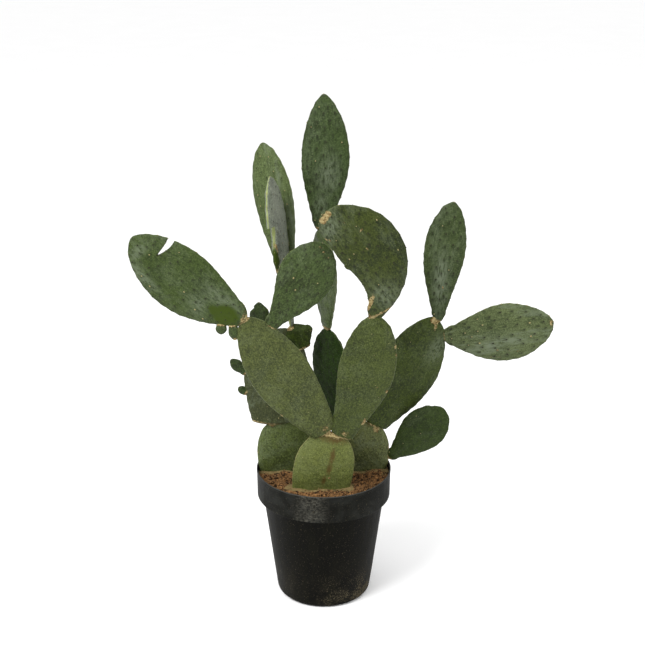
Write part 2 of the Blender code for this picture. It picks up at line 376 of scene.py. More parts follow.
def skin_material(name, look):
    shared = bpy.context.scene.cactus_skin
    g = Graph(name)
    grain = g.attribute("grain", "Vector")
    long_grain = g.stretched(grain, (1.0, 1.0, look.streaks))
    broad = g.noise(grain, 13.0, 2.0)
    mottle = g.noise(long_grain, 220.0, 6.0, 0.68, 0.3)
    fine = g.noise(grain, 340.0, 5.0, 0.72)
    patches = g.noise(long_grain, 30.0, 6.0, 0.62, 0.5)

    tone = g.plus(g.times(mottle, 0.6), g.times(broad, 0.4))
    colour = g.mix(g.ramp(tone, 0.41, 0.57), look.shade, look.green)
    grainy = g.times(g.ramp(fine, 0.50, 0.64), 0.62)
    colour = g.mix(grainy, colour, tuple(1.8 * c + 0.012 for c in look.green))
    colour = g.mix(g.ramp(fine, 0.47, 0.36, 0.0, 0.75), colour, tuple(0.55 * c for c in look.shade))
    specks = g.ramp(g.cells(grain, 210.0), 0.15, 0.08)
    specks = g.times(specks, g.ramp(patches, 0.42, 0.56, 0.0, 0.6))
    colour = g.mix(specks, colour, (0.20, 0.22, 0.12))

    waxy = g.times(g.ramp(patches, 0.47, 0.62), look.bloom)
    waxy = g.plus(waxy, g.attribute("bloom"))
    waxy = g.times(waxy, g.ramp(mottle, 0.36, 0.56, 0.15, 1.0), clamp=True)
    colour = g.mix(waxy, colour, shared.bloom)

    # Painted highlight on the tip side of each bump, painted shade on its foot side
    colour = g.mix(g.attribute("lit"), colour, tuple(1.7 * c + 0.010 for c in look.green))
    colour = g.mix(g.attribute("halo"), colour, tuple(0.35 * c for c in look.shade))
    # The pale rim: partly the rim's own paler skin and glochids, partly painted highlight
    edge = g.times(g.attribute("rim"), look.rim_share)
    edge = g.times(edge, g.ramp(mottle, 0.25, 0.6, 0.4, 1.0))
    colour = g.mix(edge, colour, look.rim)

    # Dark green patches, real on most pads; on the tall grey pad's left rim, painted shade
    moss = g.ramp(g.plus(g.attribute("moss"), g.times(mottle, 0.5)), 0.55, 0.85)
    colour = g.mix(moss, colour, (0.025, 0.042, 0.0))
    # Brown stains, real on most pads; on the tall grey pad's left rim, painted shade
    stain = g.ramp(g.plus(g.attribute("stain"), g.times(mottle, 1.1)), 0.90, 1.45)
    colour = g.mix(stain, colour, (0.058, 0.040, 0.008))

    rough_edge = g.times(g.noise(grain, 260.0, 4.0, 0.7), 0.9)
    cork = g.ramp(g.plus(g.attribute("cork"), rough_edge), 0.80, 0.96)
    age = g.ramp(g.noise(grain, 190.0, 4.0, 0.65), 0.36, 0.62)
    corky = g.mix(age, shared.old_cork, shared.cork)
    colour = g.mix(cork, colour, corky)

    felt = g.attribute("areole")
    felt_colour = g.mix(
        g.ramp(g.plus(felt, g.times(fine, 0.2)), 0.72, 0.98),
        (0.016, 0.016, 0.006),
        (0.250, 0.215, 0.095),
    )
    colour = g.mix(g.ramp(felt, 0.2, 0.4), colour, felt_colour)

    rough = g.ramp(mottle, 0.25, 0.75, 0.46 - look.gloss, 0.62 - look.gloss)
    rough = g.plus(rough, g.times(cork, 0.3), clamp=True)
    height = g.plus(g.times(fine, 0.14), g.times(mottle, 0.45))
    height = g.plus(height, g.times(cork, g.ramp(rough_edge, 0.3, 0.6, 0.3, 1.2)))
    if look.wrinkles:
        creases = g.noise(g.stretched(grain, (0.16, 0.16, 1.0)), 330.0, 3.0, 0.6, 0.6)
        height = g.plus(height, g.times(creases, look.wrinkles))
    return g.finish(colour, rough, height, 0.0012, 0.16)


def cut_material():
    """Dried flesh inside an old cut."""
    g = Graph("healed_cut")
    place = g.place()
    fibres = g.noise(g.stretched(place, (1.0, 1.0, 0.4)), 300.0, 4.0, 0.6)
    colour = g.mix(g.ramp(fibres, 0.35, 0.65), (0.030, 0.045, 0.010), (0.130, 0.120, 0.045))
    return g.finish(colour, 0.7, fibres, 0.0006)


def pot_material():
    settings = bpy.context.scene.cactus_pot
    g = Graph("pot_plastic")
    place = g.place()
    x = g.part(place, "X")
    y = g.part(place, "Y")
    z = g.part(place, "Z")
    streaks = g.noise(g.stretched(place, (1.0, 1.0, 0.10)), 70.0, 5.0, 0.6)
    clouds = g.noise(place, 20.0, 4.0, 0.6, 0.4)
    grit = g.noise(place, 330.0, 5.0, 0.75)
    fine = g.noise(place, 900.0, 2.0)
    lighter = tuple(2.2 * c for c in settings.plastic)
    colour = g.mix(g.ramp(streaks, 0.40, 0.72), settings.plastic, lighter)

    band_foot = POT_HEIGHT - settings.band_height
    on_band = g.ramp(z, band_foot - 0.001, band_foot + 0.001)
    front = g.ramp(y, -0.080, -0.130)
    # Pale scuffs on the band, most of them left of the middle
    scuffed = g.times(on_band, front)
    near = g.ramp(g.maths("ABSOLUTE", g.plus(x, 0.028)), 0.052, 0.004)
    smear = g.noise(g.stretched(place, (0.6, 0.6, 1.0)), 260.0, 8.0, 0.78)
    scuffs = g.times(g.times(scuffed, near), g.ramp(smear, 0.40, 0.70))
    colour = g.mix(g.times(scuffs, 0.75), colour, (0.110, 0.105, 0.085))
    # A black stain just under the rim, right of the middle
    stain = g.ramp(g.maths("ABSOLUTE", g.maths("SUBTRACT", x, 0.026)), 0.020, 0.006)
    stain = g.times(stain, g.ramp(z, POT_HEIGHT - 0.014, POT_HEIGHT - 0.004))
    stain = g.times(g.times(stain, front), g.ramp(clouds, 0.38, 0.50))
    colour = g.mix(stain, colour, (0.002, 0.002, 0.002))
    worn = g.times(on_band, g.ramp(clouds, 0.40, 0.64, 0.15, 0.75))
    colour = g.mix(g.times(worn, 0.40), colour, (0.036, 0.038, 0.034))
    # Dried splashes near the foot, most of them on the right
    low = g.ramp(z, 0.110, 0.005)
    right = g.ramp(x, -0.080, 0.110, 0.15, 1.0)
    splash = g.times(g.times(low, right), g.ramp(clouds, 0.36, 0.62))
    dirt = g.ramp(g.plus(grit, g.times(splash, 0.16)), 0.60, 0.68)
    colour = g.mix(g.times(dirt, 0.60), colour, settings.dust)
    film = g.times(g.ramp(z, 0.16, 0.0), g.ramp(clouds, 0.35, 0.7))
    colour = g.mix(g.times(film, 0.06), colour, settings.dust)
    # Painted highlight: a pale line round the top edge of the rim
    painted_rim_highlight = g.ramp(z, POT_HEIGHT - 0.0022, POT_HEIGHT - 0.0004)
    colour = g.mix(g.times(painted_rim_highlight, 0.35), colour, (0.100, 0.100, 0.092))
    rough = g.plus(g.ramp(streaks, 0.3, 0.75, 0.50, 0.62), g.times(dirt, 0.3))
    height = g.plus(g.times(fine, 0.15), g.times(streaks, 0.5))
    height = g.plus(height, g.times(dirt, 0.8))
    return g.finish(colour, rough, height, 0.0004, 0.05)


def soil_material():
    settings = bpy.context.scene.cactus_soil
    g = Graph("soil_mix")
    place = g.place()
    clods = g.noise(place, 150.0, 5.0, 0.65, 0.4)
    dark = tuple(0.10 * c for c in settings.brown)
    light = tuple(2.2 * c for c in settings.brown)
    colour = g.mix(g.ramp(clods, 0.43, 0.54), dark, settings.brown)
    colour = g.mix(g.ramp(g.noise(place, 420.0, 3.0), 0.52, 0.70), colour, light)
    tint = g.attribute("tint")
    colour = g.mix(g.ramp(tint, 0.35, 0.0, 0.0, 0.8), colour, dark)
    colour = g.mix(g.ramp(tint, 0.6, 1.0, 0.0, 0.75), colour, light)
    grains = g.noise(place, 700.0, 3.0, 0.7)
    sandy = g.ramp(g.plus(g.attribute("sand"), g.times(clods, 0.7)), 0.66, 0.92)
    dusty = g.mix(g.ramp(grains, 0.30, 0.62), tuple(0.35 * c for c in settings.sand), settings.sand)
    colour = g.mix(sandy, colour, dusty)
    height = g.plus(clods, g.times(grains, 0.4))
    return g.finish(colour, 0.95, height, 0.0022, 0.2)


def floor_material():
    g = Graph("studio_floor")
    clouds = g.noise(g.place(), 3.0, 2.0)
    pale = bpy.context.scene.cactus_stage.floor
    colour = g.mix(g.ramp(clouds, 0.3, 0.7), tuple(0.99 * c for c in pale), pale)
    return g.finish(colour, 0.8, clouds, 0.0001, 0.2)


# ------------------------------------------------------------------ shared mesh work


def points_of(bm):
    return np.array([vert.co[:] for vert in bm.verts])


def normals_of(bm):
    bm.normal_update()
    return np.array([vert.normal[:] for vert in bm.verts])


def move_points(bm, points):
    for vert, point in zip(bm.verts, points):
        vert.co = point


def rough_field(points, scale, seed):
    """A smooth random value from -1 to 1 at every point."""
    shift = Vector((seed * 7.31, seed * 3.17, seed * 5.73))
    return np.array([noise.noise(Vector(point) * scale + shift) for point in points])


def smooth(value, low, high):
    share = np.clip((value - low) / (high - low), 0.0, 1.0)
    return share * share * (3 - 2 * share)


def template(name, attributes, make):
    """A small mesh, made once, with each of the named attributes on its points."""
    mesh = bpy.data.meshes.get(name)
    if mesh is None:
        bm = bmesh.new()
        make(bm)
        layers = [bm.verts.layers.float.new(attribute) for attribute in attributes]
        for vert in bm.verts:
            for layer in layers:
                vert[layer] = 0.0
        mesh = bpy.data.meshes.new(name)
        bm.to_mesh(mesh)
        bm.free()
    return mesh


def stamp(bm, mesh, matrix):
    """Adds a copy of a small mesh and returns its points."""
    copy = mesh.copy()
    copy.transform(matrix)
    before = len(bm.verts)
    bm.from_mesh(copy)
    bpy.data.meshes.remove(copy)
    bm.verts.ensure_lookup_table()
    return bm.verts[before:]


def finished(name, bm, materials, replaced):
    """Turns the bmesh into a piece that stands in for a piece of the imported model."""
    mesh = bpy.data.meshes.new(name)
    bm.to_mesh(mesh)
    bm.free()
    for material in materials:
        mesh.materials.append(material)
    mesh.shade_smooth()
    obj = bpy.data.objects.new(name, mesh)
    bpy.context.scene.collection.objects.link(obj)
    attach(obj, BODY)
    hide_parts(replaced)
    return obj


# ------------------------------------------------------------------ pads


@dataclass
class Pad:
    """One pad: its size, its outline, the way that it grows and its look.

    lean tilts it from upright towards +X, back tilts it towards +Y, and turn rolls it
    about its own length, all in degrees. bend is the angle through which its middle line
    curves towards its own right side. widest is how far along the pad it is widest, as a
    share of its length. foot_taper and tip_taper shape its ends: the smaller, the
    blunter. neck is the width of its foot. nicks change its rim: each is a side, a share
    of the length, a depth inwards, and the reach towards the foot and towards the tip.
    """

    name: str
    length: float
    width: float
    look: Look
    thickness: float = PAD_THICKNESS
    lean: float = 0.0
    back: float = 0.0
    turn: float = 0.0
    bend: float = 0.0
    widest: float = 0.58
    foot_taper: float = 0.80
    tip_taper: float = 0.58
    neck: float = 0.030
    root: Vector = None
    nicks: list = field(default_factory=list)
    joints: list = field(default_factory=list)
    young: bool = False
    planted: bool = False

    def rotation(self):
        return (
            Matrix.Rotation(math.radians(self.lean), 4, "Y")
            @ Matrix.Rotation(math.radians(-self.back), 4, "X")
            @ Matrix.Rotation(math.radians(self.turn), 4, "Z")
        )

    def matrix(self):
        return Matrix.Translation(self.root) @ self.rotation()

    def middle(self, share):
        """x, z and tilt of the middle line at a share of the length."""
        share = np.asarray(share, float)
        angle = math.radians(self.bend)
        if abs(angle) < 1e-6:
            return 0.0 * share, self.length * share, 0.0 * share
        radius = self.length / angle
        tilt = angle * (share - 0.5)
        x = radius * (math.cos(angle / 2) - np.cos(tilt))
        z = radius * (np.sin(tilt) + math.sin(angle / 2))
        return x, z, tilt

    def swell(self, share):
        """From 0 at either end to 1 at the widest place."""
        power = math.log(0.5) / math.log(self.widest)
        return np.maximum(np.sin(math.pi * np.clip(share, 0.0, 1.0) ** power), 0.0)

    def half_neck(self, share):
        rising = np.minimum(1.0, np.sqrt(np.maximum(share, 0.0) / 0.04))
        return self.neck / 2 * (1 - share) ** 5 * rising

    def half_width(self, share):
        taper = self.foot_taper + (self.tip_taper - self.foot_taper) * share
        return self.width / 2 * self.swell(share) ** taper + self.half_neck(share)

    def half_thickness(self, share):
        return self.thickness / 2 * self.swell(share) ** 0.45 + 0.35 * self.half_neck(share)

    def surface(self, share, across, face):
        """Points at shares of the length and of the half width, on the -Y or +Y face."""
        share = np.asarray(share, float)
        across = np.asarray(across, float)
        x, z, tilt = self.middle(share)
        power = 2 / RIM_SQUARENESS
        through = np.maximum(1 - np.abs(across) ** power, 0.0) ** (1 / power)
        side = self.half_width(share) * across
        for nick_side, where, depth, footward, tipward in self.nicks:
            reach = (share - where) * self.length
            # Steep on the side of the tip, and easing out towards the foot
            steep = np.sqrt(np.maximum(1 - (reach / tipward) ** 2, 0.0))
            easy = 0.5 + 0.5 * np.cos(math.pi * np.minimum(-reach / footward, 1.0))
            dip = np.where(reach < 0, easy, steep)
            outer = np.clip(across * nick_side, 0.0, 1.0) ** 1.5
            side = side - nick_side * depth * dip * outer
        y = self.half_thickness(share) * through * np.asarray(face, float)
        return np.stack([x + side * np.cos(tilt), y, z - side * np.sin(tilt)], axis=-1)

    def rim(self, where):
        """The point on the rim at 0 for the tip, down to -1 and 1 at the foot."""
        side = 1.0 if where >= 0 else -1.0
        x, z, tilt = (float(v) for v in self.middle(1 - abs(where)))
        reach = side * float(self.half_width(1 - abs(where)))
        point = Vector((x + reach * math.cos(tilt), 0.0, z - reach * math.sin(tilt)))
        return self.matrix() @ point

    def distance_to(self, x, y):
        """How far a point is, seen from above, from the pad's middle plane."""
        flat = self.matrix() @ Vector((0.0, 0.0, TRUNK_DEPTH))
        along = self.rotation() @ Vector((1.0, 0.0, 0.0))
        half = float(self.half_width(TRUNK_DEPTH / self.length))
        offset = Vector((x - flat.x, y - flat.y))
        line = Vector((along.x, along.y)).normalized()
        slide = max(-half, min(half, offset.dot(line)))
        return (offset - line * slide).length


def seed_of(name):
    return sum((index + 1) * ord(letter) for index, letter in enumerate(name)) % 997


def areole_places(pad, rng):
    """Shares, sides and faces of the areoles, in lines that fan out from the foot."""
    settings = bpy.context.scene.cactus_skin
    first = 0.42 if pad.planted else 0.07
    lines = max(3, round(pad.width / settings.line_gap))
    found = []
    for face in (-1.0, 1.0):
        for line in range(lines):
            across = 0.88 * (2 * (line + 0.5) / lines - 1)
            start = 0.5 * (line % 2) + 0.2 * rng.random()
            share = first + start * settings.areole_gap / pad.length
            while share < 0.95:
                crowded = pad.half_width(share) * 2 / lines < 0.0085
                if not (crowded and line % 2):
                    jitter = rng.uniform(-0.07, 0.07)
                    found.append((share, across + jitter, face))
                share += settings.areole_gap / pad.length * rng.uniform(0.9, 1.1)
    for side in (-1.0, 1.0):
        share = first
        while share < 0.985:
            found.append((share, side, 0.0))
            share += 0.021 / pad.length * rng.uniform(0.8, 1.2)
    found.append((0.999, 0.0, 0.0))
    return found


def bare_skin(pad, sides, rings):
    """The pad's outline as a closed mesh, in the pad's own place."""
    ball = template(
        f"ball_{sides}_{rings}", (),
        lambda made: bmesh.ops.create_uvsphere(
            made, u_segments=sides, v_segments=rings, radius=1.0
        ),
    )
    bm = bmesh.new()
    bm.from_mesh(ball)
    start = points_of(bm)
    share = np.clip((start[:, 2] + 1) / 2, 0.0, 1.0)
    angle = np.arctan2(start[:, 1], start[:, 0])
    across = np.cos(angle)
    across[np.abs(across) > 1 - 1e-9] = np.sign(across[np.abs(across) > 1 - 1e-9])
    face = np.sign(np.sin(angle))
    face[np.abs(np.sin(angle)) < 1e-6] = 0.0
    move_points(bm, pad.surface(share, across, face))
    bm.normal_update()
    bmesh.ops.recalc_face_normals(bm, faces=bm.faces)
    return bm


def raise_bumps(pad, bm, areoles):
    """Lifts the skin under each areole, and makes it gently uneven all over."""
    settings = bpy.context.scene.cactus_skin
    seed = seed_of(pad.name)
    points = points_of(bm)
    normals = normals_of(bm)
    lift = 0.0010 * rough_field(points, 26.0, seed)
    lift += 0.00035 * rough_field(points, 95.0, seed + 1)
    height = settings.bump_height * (0.5 if pad.planted or pad.young else 1.0)
    for place, rim in areoles:
        reach = np.sum((points - place) ** 2, axis=1)
        swelling = np.exp(-reach / (2 * BUMP_REACH**2)) * (0.8 if rim else 1.0)
        pit = 0.55 * np.exp(-reach / (2 * PIT_REACH**2))
        lift += height * (swelling - pit)
    share = points[:, 2] / pad.length
    lift *= smooth(share, 0.01, 0.08)
    for joint, reach in pad.joints:
        away = np.linalg.norm(points - np.array(joint), axis=1)
        swollen = np.exp(-((away / reach) ** 2))
        lift += 0.0016 * swollen * (0.6 + 0.8 * rough_field(points, 190.0, seed + 2))
    if not pad.planted:
        collar = np.exp(-((share * pad.length - 0.007) / 0.0045) ** 2)
        lift += 0.0011 * collar * (0.6 + 0.9 * rough_field(points, 160.0, seed + 3))
    move_points(bm, points + normals * lift[:, None])


def carve(bm, cutter_bm, materials=()):
    """Cuts one bmesh out of another. The faces of the cut take the last material."""
    helpers = []
    for name, source in (("carved", bm), ("cutter", cutter_bm)):
        mesh = bpy.data.meshes.new(name)
        source.to_mesh(mesh)
        for material in materials:
            mesh.materials.append(material)
        helper = bpy.data.objects.new(name, mesh)
        bpy.context.scene.collection.objects.link(helper)
        helpers.append(helper)
    cutter_bm.free()
    body, cutter = helpers
    for polygon in cutter.data.polygons:
        polygon.material_index = max(len(materials) - 1, 0)
    modifier = body.modifiers.new("cut", "BOOLEAN")
    modifier.operation = "DIFFERENCE"
    modifier.solver = "EXACT"
    modifier.object = cutter
    bpy.context.view_layer.update()
    graph = bpy.context.evaluated_depsgraph_get()
    result = bpy.data.meshes.new_from_object(body.evaluated_get(graph))
    bm.clear()
    bm.from_mesh(result)
    for helper in helpers:
        bpy.data.objects.remove(helper, do_unlink=True)


def cut_slit(bm, pad, materials, share, length, mouth):
    """Cuts a narrow slit in from the right rim, widest at its mouth."""
    x, z, _ = (float(v) for v in pad.middle(share))
    half = float(pad.half_width(share))
    cutter = bmesh.new()
    bmesh.ops.create_cone(
        cutter, cap_ends=True, segments=40, radius1=1.0, radius2=1.0, depth=0.1
    )
    for vert in cutter.verts:
        inward = (1 - vert.co.x) / 2
        # Rounded at its narrow inner end, and curved a little towards the foot
        spread = mouth / 2 * vert.co.y * (1.45 - inward)
        reach = half - length + length * 1.5 * (1 - inward)
        lean = 0.0060 * math.sin(math.pi * inward)
        vert.co = Vector((x + reach, vert.co.z, z + spread - lean))
    cutter.normal_update()
    bmesh.ops.recalc_face_normals(cutter, faces=cutter.faces)
    carve(bm, cutter, materials)


def paint_skin(pad, bm, areoles):
    """Writes what the skin material reads: cork, bloom, moss, stain, rim, and the painted shade
    below and painted highlight above each bump.
    """
    points = points_of(bm)
    normals = normals_of(bm)
    kinds = ("cork", "bloom", "moss", "stain", "halo", "lit")
    fields = {name: np.zeros(len(points)) for name in kinds}
    # How far the skin has turned to the rim, which is painted paler: partly its own colour, partly
    # painted highlight
    fields["rim"] = smooth(1 - np.abs(normals[:, 1]), 0.36, 0.92)
    for kind, share, across, along_reach, across_reach, amount, face in pad.look.marks:
        place = pad.surface(share, across, face)
        _, _, tilt = pad.middle(share)
        away = points - place
        up = away[:, 0] * math.sin(tilt) + away[:, 2] * math.cos(tilt)
        sideways = away[:, 0] * math.cos(tilt) - away[:, 2] * math.sin(tilt)
        spread = (up / along_reach) ** 2 + (sideways / across_reach) ** 2
        if face:
            spread = spread + (away[:, 1] / 0.010) ** 2
        fields[kind] = np.maximum(fields[kind], amount * np.exp(-spread))
    for joint, reach in pad.joints:
        away = np.linalg.norm(points - np.array(joint), axis=1)
        fields["cork"] = np.maximum(fields["cork"], 0.60 * np.exp(-((away / reach) ** 2)))
    if not pad.planted:
        foot = 0.52 * np.exp(-((points[:, 2] - 0.004) / 0.005) ** 2)
        fields["cork"] = np.maximum(fields["cork"], foot)
    # Painted shade and painted highlight: each bump is painted lighter towards the tip and darker
    # towards the foot, as if lit from above
    depth = 0.62 * pad.look.areoles**2
    for place, _ in areoles:
        for name, shift, amount in (("halo", -0.0016, depth), ("lit", 0.0038, 0.5 * depth)):
            away = points - (place + np.array([0.0, 0.0, shift]))
            spread = np.sum((away / np.array([0.0019, 0.003, 0.0034])) ** 2, axis=1)
            fields[name] = np.maximum(fields[name], amount * np.exp(-spread / 2))
    bm.verts.layers.float.new("areole")
    layers = {name: bm.verts.layers.float.new(name) for name in fields}
    grain = bm.verts.layers.float_vector.new("grain")
    for index, vert in enumerate(bm.verts):
        vert[grain] = vert.co
        for name in fields:
            vert[layers[name]] = fields[name][index]


def add_areoles(pad, bm, areoles, rng):
    """A low felt cushion on the skin at each areole."""
    points = points_of(bm)
    normals = normals_of(bm)
    felt = bm.verts.layers.float["areole"]
    grain = bm.verts.layers.float_vector["grain"]
    cushion = template(
        "cushion", ("areole",),
        lambda made: bmesh.ops.create_uvsphere(made, u_segments=8, v_segments=4, radius=1.0),
    )
    for place, rim in areoles:
        away = np.sum((points - place) ** 2, axis=1)
        nearest = int(np.argmin(away))
        if away[nearest] > SKIN_GAP**2:
            continue
        normal = Vector(normals[nearest])
        size = AREOLE_SIZE * pad.look.areoles * rng.uniform(0.7, 1.25)
        if pad.young:
            size *= 0.6
        upright = normal.to_track_quat("Z", "Y").to_matrix().to_4x4()
        matrix = (
            Matrix.Translation(Vector(points[nearest]) + normal * 0.1 * size)
            @ upright
            @ Matrix.Diagonal((size, size * 1.35, size * 0.62, 1.0))
        )
        pale = rng.random() < (pad.look.rim_pale if rim else pad.look.pale)
        value = 0.95 if pale else 0.55
        for vert in stamp(bm, cushion, matrix):
            vert[felt] = value
            vert[grain] = vert.co


def build_pad(pad, slit=None):
    """Makes the pad's skin with its areoles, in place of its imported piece."""
    settings = bpy.context.scene.cactus_skin
    rng = random.Random(seed_of(pad.name))
    size = min(1.0, max(0.3, pad.length / 0.20))
    sides = 4 * round(settings.sides * size / 4)
    rings = 2 * round(settings.rings * size / 2)
    materials = [skin_material(pad.name, pad.look)]
    bm = bare_skin(pad, sides, rings)
    areoles = []
    for share, across, face in areole_places(pad, rng):
        areoles.append((pad.surface(share, across, face), face == 0.0))
    raise_bumps(pad, bm, areoles)
    if slit:
        materials.append(cut_material())
        cut_slit(bm, pad, materials, *slit)
    paint_skin(pad, bm, areoles)
    add_areoles(pad, bm, areoles, rng)
    bmesh.ops.transform(bm, matrix=pad.matrix(), verts=bm.verts)
    obj = finished(pad.name + "_skin", bm, materials, pad.name)
    low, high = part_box(pad.name)
    corners = np.array([vert.co[:] for vert in obj.data.vertices])
    off = max(np.abs(corners.max(0) - high).max(), np.abs(corners.min(0) - low).max())
    if off > MOST_OFF and not pad.young:
        raise RuntimeError(f"{pad.name} is {off * 1000:.1f} mm off its packed piece")
    return obj


def grow(parent, where, name, look, **size):
    """A pad that grows from a place on the rim of another, with cork at the joint."""
    pad = Pad(name=name, look=look, **size)
    outward = pad.rotation() @ Vector((0.0, 0.0, 1.0))
    joint = parent.rim(where)
    pad.root = joint - SEAT_DEPTH * outward
    local = parent.matrix().inverted() @ joint
    reach = min(0.30 * pad.neck, 0.010)
    parent.joints.append((tuple(local), reach))
    return pad


def plant(x, y, name, look, **size):
    """A trunk standing in the soil."""
    pad = Pad(
        name=name, look=look, thickness=TRUNK_THICKNESS,
        foot_taper=TRUNK_FOOT_TAPER, planted=True, **size,
    )
    pad.root = Vector((x, y, SOIL_LEVEL - TRUNK_DEPTH))
    return pad


def front_trunk():
    look = Look(
        green=(0.084, 0.098, 0.022), shade=(0.058, 0.070, 0.016), bloom=0.10,
        rim=(0.330, 0.290, 0.130), rim_share=0.55, streaks=0.8, wrinkles=0.9,
        areoles=0.40, pale=0.8, rim_pale=0.9,
        marks=[
            ("cork", 0.985, 0.10, 0.010, 0.050, 0.78, 0),
            ("cork", 0.94, 0.35, 0.009, 0.020, 0.36, -1),
            ("stain", 0.95, 0.20, 0.022, 0.056, 0.85, -1),
            ("stain", 0.76, 0.20, 0.034, 0.009, 0.80, -1),
            ("stain", 0.62, 0.16, 0.024, 0.009, 0.85, -1),
            ("stain", 0.48, 0.06, 0.020, 0.008, 0.85, -1),
            ("stain", 0.38, 0.00, 0.012, 0.050, 0.50, -1),
            ("cork", 0.52, 0.22, 0.004, 0.006, 0.60, -1),
        ],
    )
    return plant(
        -0.024, FRONT_TRUNK_SETBACK - INNER_RADIUS, "trunk_front", look,
        length=0.217, width=0.130, lean=11, widest=0.57, tip_taper=0.50,
    )


def left_trunk():
    look = Look(
        green=(0.059, 0.078, 0.018), shade=(0.031, 0.042, 0.010), bloom=0.22,
        rim=(0.160, 0.170, 0.070), streaks=0.8, wrinkles=0.6,
        areoles=0.40, pale=0.6, rim_pale=0.8,
        marks=[
            ("cork", 0.96, -0.75, 0.008, 0.014, 0.62, 0),
            ("cork", 0.99, 0.00, 0.006, 0.012, 0.60, 0),
            ("cork", 0.62, -1.00, 0.008, 0.004, 0.50, 0),
        ],
    )
    return plant(
        -0.0815, 0.014, "trunk_left", look,
        length=0.202, width=0.126, lean=-2, widest=0.59, tip_taper=0.42,
    )


def right_trunk():
    look = Look(
        green=(0.074, 0.085, 0.026), shade=(0.037, 0.044, 0.014), bloom=0.30,
        rim=(0.200, 0.170, 0.080), streaks=0.8, wrinkles=0.7,
        areoles=0.40, pale=0.6, rim_pale=0.9,
        marks=[
            ("cork", 0.93, 0.72, 0.012, 0.010, 0.66, 0),
            ("cork", 0.58, 0.99, 0.020, 0.004, 0.58, 0),
            ("cork", 0.70, 0.99, 0.008, 0.004, 0.60, 0),
            ("stain", 0.98, 0.30, 0.010, 0.030, 0.60, 0),
        ],
    )
    return plant(
        0.0815, 0.018, "trunk_right", look,
        length=0.195, width=0.122, lean=2, widest=0.62, tip_taper=0.44,
    )


def build_branch(trunk, branch, tip_taper):
    """Builds a trunk and what grows from it. An old trunk's shoulders become squarer."""
    branch(trunk)
    trunk.tip_taper = tip_taper
    build_pad(trunk)


